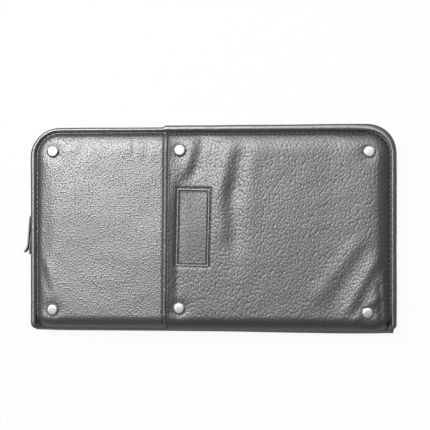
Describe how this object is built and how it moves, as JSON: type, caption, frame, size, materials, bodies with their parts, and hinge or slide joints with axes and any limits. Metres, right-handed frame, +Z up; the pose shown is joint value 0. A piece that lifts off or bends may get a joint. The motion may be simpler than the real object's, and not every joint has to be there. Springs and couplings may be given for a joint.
{
  "type": "leather shears case",
  "caption": "Zip-around padded leather case for hair shears, with spine, riveted slip pocket, bare label patch, sewn shear channels and elastic loops inside",
  "frame": {"origin": "centre of the flat face of the back cover that the closed case rests on", "axes": "+X to the right along the spine, +Y from the spine to the opening edge, +Z up through the case and out of the front cover"},
  "size_m": [0.2819, 0.1545, 0.0341],
  "materials": {
    "smooth_leather": "semi-gloss smooth grain",
    "pebbled_leather": "semi-gloss pebbled grain",
    "edge_leather": "thin glossy piping and gusset leather",
    "tool_leather": "matt split leather",
    "foam": "soft padding",
    "board": "pressed fibre board",
    "lining": "woven lining",
    "zip_tape": "twill tape",
    "elastic": "ribbed elastic",
    "zip_metal": "nickel plated",
    "rivet_metal": "polished nickel"
  },
  "bodies": {
    "back_half": {"back_leather": "smooth_leather", "back_foam": "foam", "back_board": "board", "back_lining": "lining", "back_gusset": "edge_leather", "back_piping": "edge_leather", "back_zip_tape": "zip_tape", "back_zip_teeth": "zip_metal", "back_zip_stops": "zip_metal", "shear_pocket_panel": "tool_leather"},
    "spine": {"spine_leather": "smooth_leather", "spine_board": "board", "spine_lining": "lining"},
    "front_half": {"front_leather": "smooth_leather", "outer_pocket_panel": "pebbled_leather", "label_patch": "pebbled_leather", "front_foam": "foam", "front_board": "board", "front_lining": "lining", "front_gusset": "edge_leather", "front_piping": "edge_leather", "front_zip_tape": "zip_tape", "front_zip_teeth": "zip_metal", "front_zip_stops": "zip_metal", "tool_panel": "tool_leather", "left_elastic_band": "elastic", "right_elastic_band": "elastic", "rivet_caps": "rivet_metal", "rivet_bases": "rivet_metal"},
    "zip_slider": {"slider_body": "zip_metal"},
    "zip_pull": {"pull_link": "zip_metal", "pull_tab": "edge_leather"}
  },
  "joints": [
    {"name": "spine_fold", "type": "hinge", "parent": "back_half", "child": "spine", "pos_m": [0, -0.075, 0.01], "axis": [1, 0, 0], "range_deg": [0, 90]},
    {"name": "cover_fold", "type": "hinge", "parent": "spine", "child": "front_half", "pos_m": [0, -0.075, 0.022], "axis": [1, 0, 0], "range_deg": [0, 90]},
    {"name": "zip_travel", "type": "slide", "parent": "back_half", "child": "zip_slider", "axis": [0, -1, 0], "range_m": [0, 0.0755]},
    {"name": "pull_swing", "type": "hinge", "parent": "zip_slider", "child": "zip_pull", "pos_m": [-0.13675, 0.018, 0.016], "axis": [0, 0, -1], "range_deg": [0, 145]}
  ],
  "couplings": [
    {"joint": "cover_fold", "follows": "spine_fold", "ratio": 1}
  ]
}
